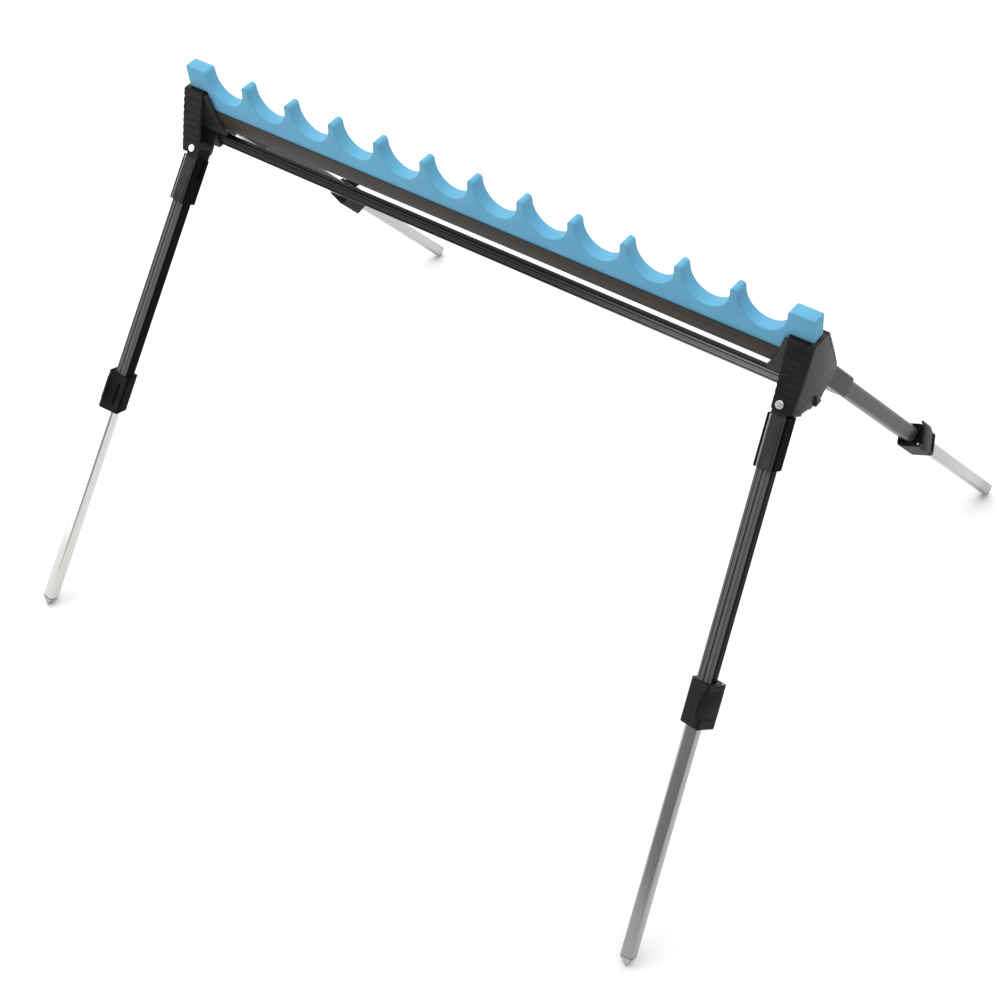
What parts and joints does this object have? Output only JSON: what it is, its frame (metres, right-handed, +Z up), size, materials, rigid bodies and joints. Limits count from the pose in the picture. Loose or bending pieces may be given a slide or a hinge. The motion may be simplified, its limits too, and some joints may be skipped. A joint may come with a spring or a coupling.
{
  "type": "fishing rod rest",
  "caption": "Free-standing fishing rod and pole rest: a notched foam bar on a channel and rail, held by ribbed end brackets on folding telescopic legs with flip-lever clamps.",
  "frame": {"origin": "on the ground, midway between the four leg tips", "axes": "+X along the rest toward the end on the right in the picture, +Y toward the rear, +Z up"},
  "size_m": [0.8432, 0.7558, 0.5482],
  "materials": {
    "foam": "matt closed-cell foam",
    "channel": "black anodised",
    "rail": "black anodised, ribbed",
    "moulding": "textured black",
    "pin": "satin",
    "screw": "zinc plated",
    "black_tube": "black anodised, ribbed",
    "silver_tube": "satin anodised",
    "bush": "smooth",
    "tip": "cast grey"
  },
  "bodies": {
    "rest": {"foam_rest": "foam", "top_channel": "channel", "lower_rail": "rail", "left_end_block": "moulding", "right_end_block": "moulding", "front_left_plate": "moulding", "rear_left_plate": "moulding", "front_right_plate": "moulding", "rear_right_plate": "moulding", "left_block_screws": "screw", "right_block_screws": "screw", "front_left_pin": "pin", "front_right_pin": "pin", "rear_left_pin": "pin", "rear_right_pin": "pin"},
    "front_left_leg": {"front_left_socket": "moulding", "front_left_upper_tube": "black_tube", "front_left_clamp": "moulding", "front_left_lever_pin": "pin"},
    "front_left_foot": {"front_left_lower_tube": "silver_tube", "front_left_bush": "bush", "front_left_tip": "tip"},
    "front_left_lever": {"front_left_lever": "moulding"},
    "front_right_leg": {"front_right_socket": "moulding", "front_right_upper_tube": "black_tube", "front_right_clamp": "moulding", "front_right_lever_pin": "pin"},
    "front_right_foot": {"front_right_lower_tube": "silver_tube", "front_right_bush": "bush", "front_right_tip": "tip"},
    "front_right_lever": {"front_right_lever": "moulding"},
    "rear_left_leg": {"rear_left_socket": "moulding", "rear_left_upper_tube": "black_tube", "rear_left_clamp": "moulding", "rear_left_lever_pin": "pin"},
    "rear_left_foot": {"rear_left_lower_tube": "silver_tube", "rear_left_bush": "bush", "rear_left_tip": "tip"},
    "rear_left_lever": {"rear_left_lever": "moulding"},
    "rear_right_leg": {"rear_right_socket": "moulding", "rear_right_upper_tube": "black_tube", "rear_right_clamp": "moulding", "rear_right_lever_pin": "pin"},
    "rear_right_foot": {"rear_right_lower_tube": "silver_tube", "rear_right_bush": "bush", "rear_right_tip": "tip"},
    "rear_right_lever": {"rear_right_lever": "moulding"}
  },
  "joints": [
    {"name": "front_left_fold", "type": "hinge", "parent": "rest", "child": "front_left_leg", "pos_m": [-0.369, -0.0284, 0.45797], "axis": [0, -0.7949, 0.6067], "range_deg": [0, 94.64]},
    {"name": "front_left_extend", "type": "slide", "parent": "front_left_leg", "child": "front_left_foot", "axis": [0.0809, 0.6047, 0.7923], "range_m": [0, 0.22]},
    {"name": "front_left_lever_turn", "type": "hinge", "parent": "front_left_leg", "child": "front_left_lever", "pos_m": [-0.40697, -0.19983, 0.22263], "axis": [-0.0809, -0.6047, -0.7923], "range_deg": [0, 100]},
    {"name": "front_right_fold", "type": "hinge", "parent": "rest", "child": "front_right_leg", "pos_m": [0.369, -0.0284, 0.45797], "axis": [0, 0.7949, -0.6067], "range_deg": [0, 94.64]},
    {"name": "front_right_extend", "type": "slide", "parent": "front_right_leg", "child": "front_right_foot", "axis": [-0.0809, 0.6047, 0.7923], "range_m": [0, 0.22]},
    {"name": "front_right_lever_turn", "type": "hinge", "parent": "front_right_leg", "child": "front_right_lever", "pos_m": [0.40697, -0.19983, 0.22263], "axis": [-0.0809, 0.6047, 0.7923], "range_deg": [0, 100]},
    {"name": "rear_left_fold", "type": "hinge", "parent": "rest", "child": "rear_left_leg", "pos_m": [-0.369, 0.0284, 0.45797], "axis": [0, -0.7949, -0.6067], "range_deg": [0, 94.64]},
    {"name": "rear_left_extend", "type": "slide", "parent": "rear_left_leg", "child": "rear_left_foot", "axis": [0.0809, -0.6047, 0.7923], "range_m": [0, 0.22]},
    {"name": "rear_left_lever_turn", "type": "hinge", "parent": "rear_left_leg", "child": "rear_left_lever", "pos_m": [-0.40697, 0.19983, 0.22263], "axis": [0.0809, -0.6047, 0.7923], "range_deg": [0, 100]},
    {"name": "rear_right_fold", "type": "hinge", "parent": "rest", "child": "rear_right_leg", "pos_m": [0.369, 0.0284, 0.45797], "axis": [0, 0.7949, 0.6067], "range_deg": [0, 94.64]},
    {"name": "rear_right_extend", "type": "slide", "parent": "rear_right_leg", "child": "rear_right_foot", "axis": [-0.0809, -0.6047, 0.7923], "range_m": [0, 0.22]},
    {"name": "rear_right_lever_turn", "type": "hinge", "parent": "rear_right_leg", "child": "rear_right_lever", "pos_m": [0.40697, 0.19983, 0.22263], "axis": [0.0809, 0.6047, -0.7923], "range_deg": [0, 100]}
  ]
}
